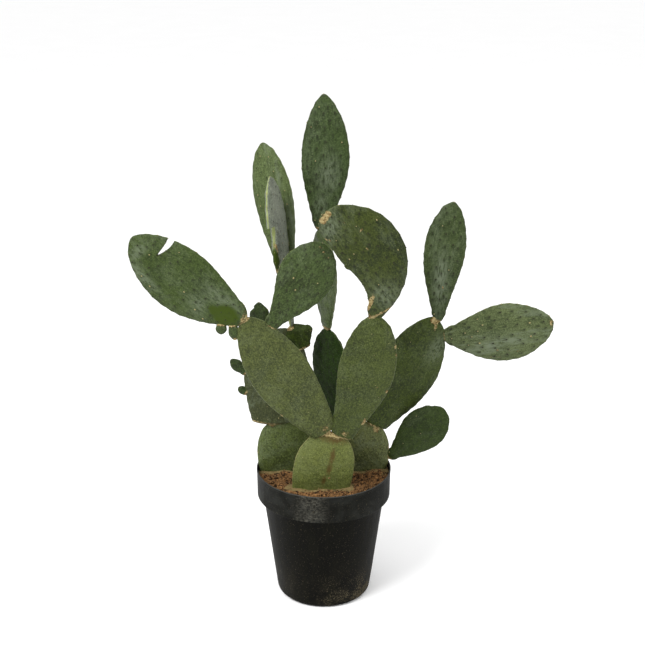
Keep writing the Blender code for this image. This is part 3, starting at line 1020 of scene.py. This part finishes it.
def front_branch(trunk):
    left = grow(
        trunk, -0.01, "pad_front_left",
        Look(
            green=(0.053, 0.065, 0.016), shade=(0.025, 0.032, 0.008), bloom=0.12,
            rim=(0.170, 0.200, 0.085), rim_share=0.85, wrinkles=0.5, streaks=0.7,
            areoles=0.42, pale=0.25, rim_pale=0.4,
            marks=[
                ("cork", 0.985, -0.3, 0.005, 0.020, 0.70, 0),
                ("cork", 0.30, -0.98, 0.006, 0.004, 0.60, 0),
                ("cork", 0.05, 0.2, 0.012, 0.016, 0.45, -1),
                ("stain", 0.06, 0.0, 0.014, 0.020, 0.50, -1),
            ],
        ),
        length=0.325, width=0.123, lean=-32, back=-5, turn=6, bend=10, widest=0.55, neck=0.056,
    )
    right = grow(
        trunk, 0.02, "pad_front_right",
        Look(
            green=(0.040, 0.053, 0.010), shade=(0.018, 0.025, 0.004), bloom=0.10,
            rim=(0.170, 0.200, 0.085), rim_share=0.85, wrinkles=0.5, streaks=0.7,
            areoles=0.42, pale=0.25, rim_pale=0.4,
            marks=[
                ("cork", 0.80, 0.99, 0.008, 0.004, 0.62, 0),
                ("cork", 0.74, 0.99, 0.006, 0.004, 0.58, 0),
                ("cork", 0.47, 0.98, 0.006, 0.005, 0.62, 0),
                ("cork", 0.49, 0.55, 0.003, 0.004, 0.55, -1),
                ("cork", 0.20, 0.90, 0.014, 0.005, 0.64, 0),
                ("cork", 0.06, 0.2, 0.010, 0.012, 0.50, -1),
                ("stain", 0.07, 0.5, 0.014, 0.014, 0.50, -1),
                ("moss", 0.16, 0.0, 0.014, 0.012, 0.35, -1),
            ],
        ),
        length=0.299, width=0.116, lean=14.5, back=-5, turn=-6, bend=-23,
        widest=0.61, foot_taper=0.73, tip_taper=0.49, neck=0.054,
    )
    far = grow(
        left, 0.0, "pad_far_left",
        Look(
            green=(0.030, 0.047, 0.008), shade=(0.016, 0.027, 0.004), bloom=0.18, areoles=0.95,
            marks=[
                ("moss", 0.14, -0.30, 0.030, 0.026, 1.00, -1),
                ("moss", 0.22, -0.25, 0.024, 0.016, 0.70, -1),
                ("bloom", 0.22, 0.35, 0.050, 0.020, 0.55, -1),
                ("bloom", 0.34, -0.30, 0.022, 0.030, 0.40, -1),
                ("bloom", 0.78, -0.78, 0.040, 0.010, 0.60, -1),
                ("cork", 0.80, -0.86, 0.020, 0.005, 0.36, -1),
                ("bloom", 0.90, -0.20, 0.012, 0.020, 0.60, -1),
                ("cork", 0.030, 0.0, 0.004, 0.030, 0.50, 0),
            ],
        ),
        length=0.289, width=0.135, lean=-54.7, back=7, turn=-2, bend=22,
        widest=0.56, foot_taper=0.73, tip_taper=0.54,
    )
    middle = grow(
        left, 0.13, "pad_middle",
        Look(
            green=(0.033, 0.052, 0.012), shade=(0.014, 0.021, 0.004), bloom=0.16,
            pale=0.12, rim_pale=0.35,
            marks=[
                ("cork", 0.93, 0.25, 0.003, 0.004, 0.55, -1),
                ("cork", 0.90, 0.60, 0.003, 0.003, 0.55, -1),
                ("cork", 0.96, 0.0, 0.003, 0.006, 0.50, -1),
            ],
        ),
        length=0.212, width=0.114, lean=32, back=2, bend=-18,
        widest=0.65, tip_taper=0.52,
    )
    curled = grow(
        right, -0.01, "pad_curled",
        Look(
            green=(0.028, 0.038, 0.004), shade=(0.010, 0.016, 0.002), bloom=0.18,
            pale=0.15, rim_pale=0.5,
            marks=[
                ("cork", 0.972, 0.36, 0.0075, 0.0085, 0.95, 0),
                ("cork", 0.958, 0.54, 0.0075, 0.0085, 0.95, 0),
                ("cork", 0.944, 0.72, 0.0070, 0.0080, 0.90, 0),
                ("stain", 0.955, 0.50, 0.004, 0.012, 1.20, -1),
                ("cork", 0.93, -0.90, 0.014, 0.004, 0.50, 0),
                ("cork", 0.84, 0.25, 0.007, 0.008, 0.40, -1),
                ("cork", 0.72, 0.25, 0.003, 0.007, 0.62, -1),
                ("cork", 0.60, -0.10, 0.004, 0.003, 0.66, -1),
                ("cork", 0.12, -0.85, 0.022, 0.006, 0.90, 0),
                ("bloom", 0.93, -0.20, 0.020, 0.030, 0.70, -1),
                ("bloom", 0.22, 0.20, 0.030, 0.040, 0.45, -1),
                ("cork", 0.02, -0.2, 0.004, 0.020, 0.55, 0),
            ],
        ),
        length=0.288, width=0.127, lean=-27.5, back=-4, bend=-126,
        widest=0.61, tip_taper=0.48,
        nicks=[(-1, 0.55, -0.003, 0.020, 0.014), (1, 0.80, 0.0015, 0.012, 0.012)],
    )
    bud_look = Look(
        green=(0.036, 0.055, 0.014), shade=(0.016, 0.024, 0.006), bloom=0.30,
        areoles=0.8, pale=0.4, rim_pale=0.5,
        marks=[("cork", 0.97, 0.0, 0.006, 0.008, 0.62, 0)],
    )
    outer_look = Look(
        green=(0.034, 0.052, 0.013), shade=(0.015, 0.023, 0.006), bloom=0.30,
        areoles=0.8, pale=0.4, rim_pale=0.5,
    )
    inner_bud = grow(
        far, -0.93, "bud_under_inner", bud_look, young=True,
        length=0.036, width=0.022, thickness=BUD_THICKNESS, lean=170, neck=0.012,
    )
    outer_bud = grow(
        far, -0.86, "bud_under_outer", outer_look, young=True,
        length=0.026, width=0.023, thickness=BUD_THICKNESS, lean=184, neck=0.012,
    )
    for pad in (left, right, middle, curled, inner_bud, outer_bud):
        build_pad(pad)
    build_pad(far, slit=SLIT)


def left_branch(trunk):
    base = grow(
        trunk, -0.02, "pad_back_left",
        Look(
            green=(0.039, 0.046, 0.015), shade=(0.023, 0.028, 0.008), bloom=0.40,
            streaks=0.7, areoles=0.7, pale=0.5,
        ),
        length=0.225, width=0.137, lean=8, back=3, bend=19,
        widest=0.55, foot_taper=0.62, neck=0.080,
    )
    stub = grow(
        base, 0.14, "pad_stub",
        Look(
            green=(0.022, 0.036, 0.001), shade=(0.010, 0.017, 0.000), bloom=0.10,
            rim=(0.070, 0.090, 0.030), pale=0.1, rim_pale=0.3,
            marks=[
                ("cork", 0.95, -0.5, 0.007, 0.014, 0.72, 0),
                ("cork", 0.55, 0.9, 0.006, 0.005, 0.45, 0),
            ],
        ),
        length=0.061, width=0.063, lean=-25, back=3,
        widest=0.57, foot_taper=0.70, neck=0.020,
        nicks=[(1, 0.62, -0.006, 0.016, 0.010), (-1, 0.66, 0.003, 0.014, 0.012)],
    )
    tall = grow(
        stub, 0.0, "pad_tall_grey",
        Look(
            green=(0.170, 0.185, 0.140), shade=(0.088, 0.099, 0.078), bloom=0.60,
            rim=(0.240, 0.280, 0.085), rim_share=0.9, streaks=0.12,
            areoles=0.8, pale=0.3, rim_pale=0.9,
            marks=[
                ("cork", 0.58, -0.92, 0.040, 0.003, 0.58, -1),
                # Painted shade on the shadowed lower left rim
                ("moss", 0.52, -1.00, 0.040, 0.010, 0.80, 0),
                ("cork", 0.44, -0.97, 0.008, 0.005, 0.62, 0),
                # Painted shade on the same rim
                ("stain", 0.42, -0.97, 0.010, 0.008, 0.90, 0),
            ],
        ),
        length=0.346, width=0.106, lean=-7.2, back=-6, turn=74,
        widest=0.69, foot_taper=0.84, neck=0.024,
        nicks=[(-1, 0.70, 0.028, 0.080, 0.010)],
    )
    behind = grow(
        tall, 0.88, "pad_tall_back",
        Look(
            green=(0.060, 0.083, 0.026), shade=(0.038, 0.054, 0.015), bloom=0.62,
            streaks=0.10, areoles=0.8, pale=0.3, rim_pale=0.7,
            rim=(0.170, 0.205, 0.090),
        ),
        length=0.365, width=0.091, lean=-9.7, back=10, turn=-24, bend=-5,
        widest=0.68, foot_taper=0.86, neck=0.024,
    )
    small = grow(
        base, -0.16, "pad_small_left",
        Look(
            green=(0.026, 0.042, 0.009), shade=(0.014, 0.023, 0.004), bloom=0.20,
            rim=(0.080, 0.110, 0.040),
        ),
        length=0.089, width=0.045, thickness=BUD_THICKNESS, lean=-2, turn=-15,
        widest=0.60, foot_taper=0.70, tip_taper=0.60, neck=0.015,
        nicks=[(-1, 0.84, 0.0035, 0.008, 0.005)],
    )
    leaf_look = Look(
        green=(0.031, 0.050, 0.011), shade=(0.014, 0.023, 0.005), bloom=0.15,
        rim=(0.130, 0.160, 0.070), rim_share=0.6, areoles=0.8,
    )
    knob_look = Look(
        green=(0.025, 0.042, 0.007), shade=(0.010, 0.019, 0.003), bloom=0.1,
        rim=(0.090, 0.110, 0.040), areoles=0.8,
    )
    upper = grow(
        base, -0.50, "bud_left_upper", leaf_look, young=True,
        length=0.048, width=0.025, thickness=BUD_THICKNESS, lean=-44, neck=0.010,
    )
    lower = grow(
        base, -0.68, "bud_left_lower", knob_look, young=True,
        length=0.024, width=0.018, thickness=BUD_THICKNESS, lean=-62, neck=0.010,
    )
    for pad in (base, stub, tall, behind, small, upper, lower):
        build_pad(pad)


def right_branch(trunk):
    low = grow(
        trunk, -0.15, "pad_back_low",
        Look(
            green=(0.013, 0.031, 0.001), shade=(0.007, 0.013, 0.001), bloom=0.0, gloss=-0.25,
            rim=(0.090, 0.110, 0.045), streaks=0.3, areoles=0.7,
        ),
        length=0.249, width=0.113, lean=-7.3, back=7, turn=-45, bend=8,
        widest=0.62, foot_taper=0.85, tip_taper=0.60, neck=0.036,
    )
    mid = grow(
        low, 0.0, "pad_back_mid",
        Look(
            green=(0.057, 0.081, 0.024), shade=(0.031, 0.046, 0.013), bloom=0.40,
            rim=(0.150, 0.175, 0.095), streaks=0.15, areoles=0.7,
            marks=[("cork", 0.03, 0.0, 0.006, 0.030, 0.66, 0)],
        ),
        length=0.231, width=0.103, lean=-3.2, back=2, turn=-60, bend=-2,
        widest=0.59, neck=0.026,
    )
    top = grow(
        mid, -0.01, "pad_top",
        Look(
            green=(0.026, 0.043, 0.009), shade=(0.012, 0.020, 0.003), bloom=0.18,
            streaks=0.3, rim_pale=0.6,
            marks=[
                ("bloom", 0.42, 0.15, 0.045, 0.026, 0.50, -1),
                ("bloom", 0.20, -0.10, 0.030, 0.016, 0.50, -1),
                ("cork", 0.02, -0.3, 0.006, 0.010, 0.60, 0),
            ],
        ),
        length=0.291, width=0.101, lean=1.8, back=2, turn=-10, bend=-13,
        widest=0.55, foot_taper=0.84, tip_taper=0.62, neck=0.018,
    )
    base = grow(
        trunk, 0.02, "pad_right",
        Look(
            green=(0.028, 0.042, 0.003), shade=(0.011, 0.018, 0.001), bloom=0.10,
            streaks=0.6, areoles=0.50, pale=0.15,
            marks=[
                ("cork", 0.975, 0.15, 0.010, 0.012, 0.85, 0),
                ("cork", 0.93, 0.30, 0.010, 0.006, 0.60, -1),
                ("bloom", 0.78, 0.60, 0.040, 0.020, 0.55, -1),
            ],
        ),
        length=0.284, width=0.135, lean=29, back=6, turn=8, bend=-13, widest=0.55, neck=0.056,
    )
    upright = grow(
        base, 0.01, "pad_right_upright",
        Look(
            green=(0.030, 0.045, 0.011), shade=(0.016, 0.026, 0.005), bloom=0.22,
            streaks=0.25, rim_pale=0.5,
            marks=[
                ("bloom", 0.36, 0.0, 0.065, 0.016, 0.85, -1),
                ("cork", 0.30, 0.20, 0.005, 0.003, 0.60, -1),
            ],
        ),
        length=0.267, width=0.088, lean=6, back=5, turn=-12, bend=12,
        widest=0.61, foot_taper=0.74, neck=0.018,
    )
    outer = grow(
        base, 0.10, "pad_right_outer",
        Look(
            green=(0.065, 0.083, 0.030), shade=(0.033, 0.046, 0.014), bloom=0.55,
            streaks=0.2, areoles=1.15, pale=0.2, rim_pale=0.8,
            marks=[
                ("cork", 0.48, 0.55, 0.007, 0.006, 0.48, -1),
                ("cork", 0.58, 0.62, 0.006, 0.004, 0.52, -1),
                ("cork", 0.66, 0.70, 0.020, 0.004, 0.40, -1),
                ("cork", 0.45, 0.85, 0.026, 0.006, 0.38, -1),
                ("cork", 0.78, 0.30, 0.004, 0.004, 0.55, -1),
                ("cork", 0.98, 0.0, 0.005, 0.014, 0.56, 0),
                ("bloom", 0.50, 0.30, 0.050, 0.020, 0.45, -1),
            ],
        ),
        length=0.245, width=0.136, lean=81, back=-5, turn=5, bend=-24, neck=0.024,
    )
    small = grow(
        trunk, 0.42, "pad_right_small",
        Look(
            green=(0.017, 0.031, 0.001), shade=(0.009, 0.018, 0.000), bloom=0.10,
            rim=(0.090, 0.120, 0.040), areoles=0.60, pale=0.15,
        ),
        length=0.178, width=0.099, thickness=0.014, lean=42.5, back=-6, bend=-21,
        widest=0.63, tip_taper=0.54, neck=0.020,
        nicks=[(-1, 0.94, 0.0020, 0.005, 0.004)],
    )
    for pad in (low, mid, top, base, upright, outer, small):
        build_pad(pad)


# ------------------------------------------------------------------ pot


def rounded(corners, steps=5):
    """A profile of (radius, height, rounding) corners with each corner rounded off."""
    profile = []
    for index, (radius, height, rounding) in enumerate(corners):
        here = Vector((radius, height))
        if rounding == 0.0 or index in (0, len(corners) - 1):
            profile.append(here)
            continue
        before = Vector(corners[index - 1][:2]) - here
        after = Vector(corners[index + 1][:2]) - here
        half = before.angle(after) / 2
        back = min(rounding / math.tan(half), before.length / 2, after.length / 2)
        start = here + before.normalized() * back
        end = here + after.normalized() * back
        for step in range(steps + 1):
            share = step / steps
            profile.append(
                start * (1 - share) ** 2 + here * 2 * share * (1 - share) + end * share**2
            )
    return [(point.x, point.y) for point in profile]


def turned(profile, steps):
    """A body made by spinning a (radius, height) profile round the Z axis."""
    bm = bmesh.new()
    verts = [bm.verts.new((radius, 0.0, height)) for radius, height in profile]
    edges = [bm.edges.new(pair) for pair in zip(verts, verts[1:])]
    bmesh.ops.spin(
        bm, geom=verts + edges, axis=(0, 0, 1), cent=(0, 0, 0),
        steps=steps, angle=math.tau, use_merge=True,
    )
    bmesh.ops.remove_doubles(bm, verts=bm.verts, dist=1e-6)
    bmesh.ops.recalc_face_normals(bm, faces=bm.faces)
    return bm


def build_pot():
    settings = bpy.context.scene.cactus_pot
    rim = POT_HIGH.x
    band_foot = POT_HEIGHT - settings.band_height
    under_band = rim - BAND_STEP
    widening = (under_band - settings.foot_radius) / band_foot
    ledge_height = band_foot - BAND_SLOPE
    foot = settings.foot_radius + widening * 0.012
    ledge = settings.foot_radius + widening * ledge_height
    corners = [
        (0.0, 0.0, 0.0),
        (0.030, 0.0, 0.0),
        (0.075, 0.0, 0.0),
        (foot - 0.0075, 0.0, 0.004),
        (foot - 0.0015, 0.0050, 0.010),
        (foot + 0.0006, 0.0180, 0.020),
        (ledge, ledge_height, 0.0012),
        (rim - 0.0012, band_foot, 0.0016),
        (rim - 0.0006, POT_HEIGHT - 0.0060, 0.010),
        (rim, POT_HEIGHT - 0.0048, 0.0010),
        (rim, POT_HEIGHT, 0.0011),
        (rim - WALL, POT_HEIGHT, 0.0009),
        (rim - WALL - 0.0008, band_foot + 0.001, 0.004),
        (ledge - WALL, band_foot - 0.004, 0.003),
        (foot - WALL, 0.013, 0.008),
        (foot - 0.011, WALL, 0.006),
        (0.0, WALL, 0.0),
    ]
    bm = turned(rounded(corners), 160)
    bmesh.ops.subdivide_edges(
        bm,
        edges=[e for e in bm.edges if abs(e.verts[0].co.z - e.verts[1].co.z) > 0.04],
        cuts=14,
        use_grid_fill=True,
    )
    points = points_of(bm)
    outward = points[:, :2] / np.maximum(np.linalg.norm(points[:, :2], axis=1), 1e-6)[:, None]
    wobble = 0.0005 * rough_field(points * np.array([1.0, 1.0, 0.3]), 16.0, 5)
    wobble *= smooth(points[:, 2], 0.01, 0.05)
    points[:, :2] += outward * wobble[:, None]
    move_points(bm, points)
    drains = bmesh.new()
    for index in range(DRAIN_COUNT):
        angle = math.tau * (index + 0.5) / DRAIN_COUNT
        middle = (DRAIN_CIRCLE * math.cos(angle), DRAIN_CIRCLE * math.sin(angle), 0.0)
        bmesh.ops.create_cone(
            drains, cap_ends=True, segments=32,
            radius1=DRAIN_RADIUS, radius2=DRAIN_RADIUS, depth=0.01,
            matrix=Matrix.Translation(middle),
        )
    carve(bm, drains)
    obj = finished("pot_shell", bm, [pot_material()], "pot")
    obj.data.set_sharp_from_angle(angle=math.radians(40))


# ------------------------------------------------------------------ soil


def soil_height(x, y, trunks):
    """How high the soil lies at a place, and how far the nearest trunk is."""
    level = SOIL_LEVEL
    level += SOIL_UNEVEN * math.sin(61.0 * x + 0.7) * math.cos(53.0 * y - 0.4)
    level += SOIL_UNEVEN / 2 * math.sin(127.0 * x - 97.0 * y)
    nearest = min(trunk.distance_to(x, y) for trunk in trunks)
    return level + SOIL_HEAP * math.exp(-((nearest / SOIL_HEAP_REACH) ** 2)), nearest


def random_place(rng, reach):
    """x and y of a random place in a circle of this radius."""
    angle = rng.uniform(0.0, math.tau)
    away = reach * math.sqrt(rng.random())
    return away * math.cos(angle), away * math.sin(angle)


def build_soil(trunks):
    settings = bpy.context.scene.cactus_soil
    rng = random.Random(41)
    edge = INNER_RADIUS - 0.0012
    band_foot = POT_HEIGHT - bpy.context.scene.cactus_pot.band_height
    rings = 64
    profile = [(edge * ring / rings, SOIL_LEVEL) for ring in range(rings + 1)]
    profile += [
        (edge - 0.0012, band_foot + 0.004),
        (0.128, band_foot - 0.004),
        (0.100, 0.014),
        (0.0, 0.006),
    ]
    bm = turned(profile, 200)
    sand = bm.verts.layers.float.new("sand")
    tint = bm.verts.layers.float.new("tint")
    for vert in bm.verts:
        vert[tint] = 0.45
        if abs(vert.co.z - SOIL_LEVEL) > 1e-6:
            continue
        height, nearest = soil_height(vert.co.x, vert.co.y, trunks)
        lumps = noise.noise(vert.co * 210.0) * 0.0016 + noise.noise(vert.co * 90.0) * 0.0016
        ridge = math.exp(-(((nearest - 0.013) / 0.0065) ** 2)) if nearest > 0.013 else 1.0
        away = math.hypot(vert.co.x, vert.co.y)
        lumps *= 1.0 - 0.6 * ridge
        if away > edge - 0.002:
            lumps *= 0.3
        vert[sand] = ridge * (0.66 + 0.55 * noise.noise(vert.co * 75.0))
        vert.co.z = height + lumps + 0.0020 * ridge
    crumb = template(
        "crumb", ("sand", "tint"),
        lambda made: bmesh.ops.create_icosphere(made, subdivisions=1, radius=1.0),
    )
    fibre = template(
        "fibre", ("sand", "tint"),
        lambda made: bmesh.ops.create_cone(
            made, cap_ends=True, segments=5, radius1=1.0, radius2=0.5, depth=1.0
        ),
    )
    for _ in range(settings.crumbs):
        x, y = random_place(rng, edge - 0.004)
        height, nearest = soil_height(x, y, trunks)
        if nearest < 0.012:
            continue
        size = settings.crumb_size * rng.uniform(0.25, 1.0) ** 1.6
        on_sand = math.exp(-(((nearest - 0.013) / 0.009) ** 2))
        if on_sand > 0.3:
            size *= 0.45
        matrix = (
            Matrix.Translation((x, y, height + 0.3 * size + 0.0030 * on_sand))
            @ Euler([rng.uniform(0, math.tau) for _ in range(3)]).to_matrix().to_4x4()
            @ Matrix.Diagonal(
                (size * rng.uniform(0.7, 1.5), size, size * rng.uniform(0.4, 0.9), 1.0)
            )
        )
        shade = rng.random()
        for vert in stamp(bm, crumb, matrix):
            vert.co += Vector([rng.uniform(-0.28, 0.28) * size for _ in range(3)])
            vert[tint] = shade
            vert[sand] = 0.9 if on_sand > 0.45 and rng.random() < 0.8 else 0.0
    for _ in range(settings.crumbs // 9):
        x, y = random_place(rng, edge - 0.012)
        height, nearest = soil_height(x, y, trunks)
        if nearest < 0.024:
            continue
        length = rng.uniform(0.006, 0.014)
        matrix = (
            Matrix.Translation((x, y, height + 0.0012))
            @ Matrix.Rotation(rng.uniform(0, math.tau), 4, "Z")
            @ Matrix.Rotation(math.radians(rng.uniform(78, 102)), 4, "Y")
            @ Matrix.Diagonal((0.0006, 0.0004, length, 1.0))
        )
        shade = rng.choice((0.1, 0.8, 1.0))
        for vert in stamp(bm, fibre, matrix):
            vert[tint] = shade
    bmesh.ops.recalc_face_normals(bm, faces=bm.faces)
    finished("soil_surface", bm, [soil_material()], "soil")


# ------------------------------------------------------------------ stage


def build_stage():
    settings = bpy.context.scene.cactus_stage
    bm = bmesh.new()
    bmesh.ops.create_circle(bm, cap_ends=True, segments=96, radius=40.0)
    mesh = bpy.data.meshes.new("floor")
    bm.to_mesh(mesh)
    bm.free()
    mesh.materials.append(floor_material())
    floor = bpy.data.objects.new("floor", mesh)
    bpy.context.scene.collection.objects.link(floor)
    floor.location.z = -0.0005

    world = bpy.data.worlds.new("studio")
    bpy.context.scene.world = world
    world.use_nodes = True
    background = world.node_tree.nodes["Background"]
    background.inputs["Color"].default_value = (1.0, 1.0, 1.0, 1.0)
    # Brighter overhead than near the horizon
    nodes, links = world.node_tree.nodes, world.node_tree.links
    direction = nodes.new("ShaderNodeTexCoord")
    parts = nodes.new("ShaderNodeSeparateXYZ")
    slope = nodes.new("ShaderNodeMapRange")
    slope.inputs["To Min"].default_value = 0.75 * settings.sky
    slope.inputs["To Max"].default_value = 1.35 * settings.sky
    links.new(direction.outputs["Generated"], parts.inputs["Vector"])
    links.new(parts.outputs["Z"], slope.inputs["Value"])
    links.new(slope.outputs["Result"], background.inputs["Strength"])

    aim = Vector((0.0, 0.0, 0.6))
    lamps = (
        ("key_light", (-1.7, -1.7, 3.1), 1.7, settings.key),
        ("fill_light", (2.6, -1.6, 1.8), 2.0, settings.key * 0.22),
    )
    for name, place, size, power in lamps:
        light = bpy.data.lights.new(name, "AREA")
        light.shape = "DISK"
        light.size = size
        light.energy = power
        lamp = bpy.data.objects.new(name, light)
        bpy.context.scene.collection.objects.link(lamp)
        lamp.location = place
        lamp.rotation_euler = (aim - Vector(place)).to_track_quat("-Z", "Y").to_euler()

    lens = bpy.data.cameras.new("camera")
    lens.lens = LENS_MM
    lens.sensor_width = SENSOR_MM
    camera = bpy.data.objects.new("camera", lens)
    bpy.context.scene.collection.objects.link(camera)
    camera.location = CAMERA_PLACE
    camera.rotation_euler = (math.radians(90 - CAMERA_DROP), 0.0, 0.0)
    bpy.context.scene.camera = camera
    bpy.context.scene.view_settings.view_transform = "Standard"


# ------------------------------------------------------------------ operators


class CACTUS_OT_stage(bpy.types.Operator):
    """Add the floor, the lights and the camera"""

    bl_idname = "cactus.stage"
    bl_label = "Stage"

    def execute(self, context):
        build_stage()
        return {"FINISHED"}


class CACTUS_OT_pot(bpy.types.Operator):
    """Add the nursery pot"""

    bl_idname = "cactus.pot"
    bl_label = "Pot"

    def execute(self, context):
        build_pot()
        return {"FINISHED"}


class CACTUS_OT_soil(bpy.types.Operator):
    """Add the soil, heaped against the trunks"""

    bl_idname = "cactus.soil"
    bl_label = "Soil"

    def execute(self, context):
        build_soil((front_trunk(), left_trunk(), right_trunk()))
        return {"FINISHED"}


class CACTUS_OT_front_branch(bpy.types.Operator):
    """Add the front trunk and all that grows from it"""

    bl_idname = "cactus.front_branch"
    bl_label = "Front branch"

    def execute(self, context):
        build_branch(front_trunk(), front_branch, tip_taper=0.38)
        return {"FINISHED"}


class CACTUS_OT_left_branch(bpy.types.Operator):
    """Add the left trunk and all that grows from it"""

    bl_idname = "cactus.left_branch"
    bl_label = "Left branch"

    def execute(self, context):
        build_branch(left_trunk(), left_branch, tip_taper=0.3)
        return {"FINISHED"}


class CACTUS_OT_right_branch(bpy.types.Operator):
    """Add the right trunk and all that grows from it"""

    bl_idname = "cactus.right_branch"
    bl_label = "Right branch"

    def execute(self, context):
        build_branch(right_trunk(), right_branch, tip_taper=0.35)
        return {"FINISHED"}


class CACTUS_PT_panel(bpy.types.Panel):
    """Lists the pieces of the cactus"""

    bl_label = "Potted cactus"
    bl_space_type = "VIEW_3D"
    bl_region_type = "UI"
    bl_category = "Cactus"

    def draw(self, context):
        for operator in OPERATORS:
            self.layout.operator(operator.bl_idname)
        for name in SETTINGS:
            group = getattr(context.scene, name)
            box = self.layout.box()
            for prop in group.__annotations__:
                box.prop(group, prop)


OPERATORS = (
    CACTUS_OT_stage,
    CACTUS_OT_pot,
    CACTUS_OT_soil,
    CACTUS_OT_front_branch,
    CACTUS_OT_left_branch,
    CACTUS_OT_right_branch,
)
SETTINGS = {
    "cactus_pot": PotSettings,
    "cactus_soil": SoilSettings,
    "cactus_skin": SkinSettings,
    "cactus_stage": StageSettings,
}


def register():
    for name, group in SETTINGS.items():
        bpy.utils.register_class(group)
        setattr(bpy.types.Scene, name, PointerProperty(type=group))
    for operator in OPERATORS:
        bpy.utils.register_class(operator)
    bpy.utils.register_class(CACTUS_PT_panel)


def unregister():
    bpy.utils.unregister_class(CACTUS_PT_panel)
    for operator in reversed(OPERATORS):
        bpy.utils.unregister_class(operator)
    for name, group in SETTINGS.items():
        delattr(bpy.types.Scene, name)
        bpy.utils.unregister_class(group)


def main():
    register()
    bpy.ops.cactus.stage()
    bpy.ops.cactus.pot()
    bpy.ops.cactus.soil()
    bpy.ops.cactus.front_branch()
    bpy.ops.cactus.left_branch()
    bpy.ops.cactus.right_branch()


if __name__ == "__main__":
    main()
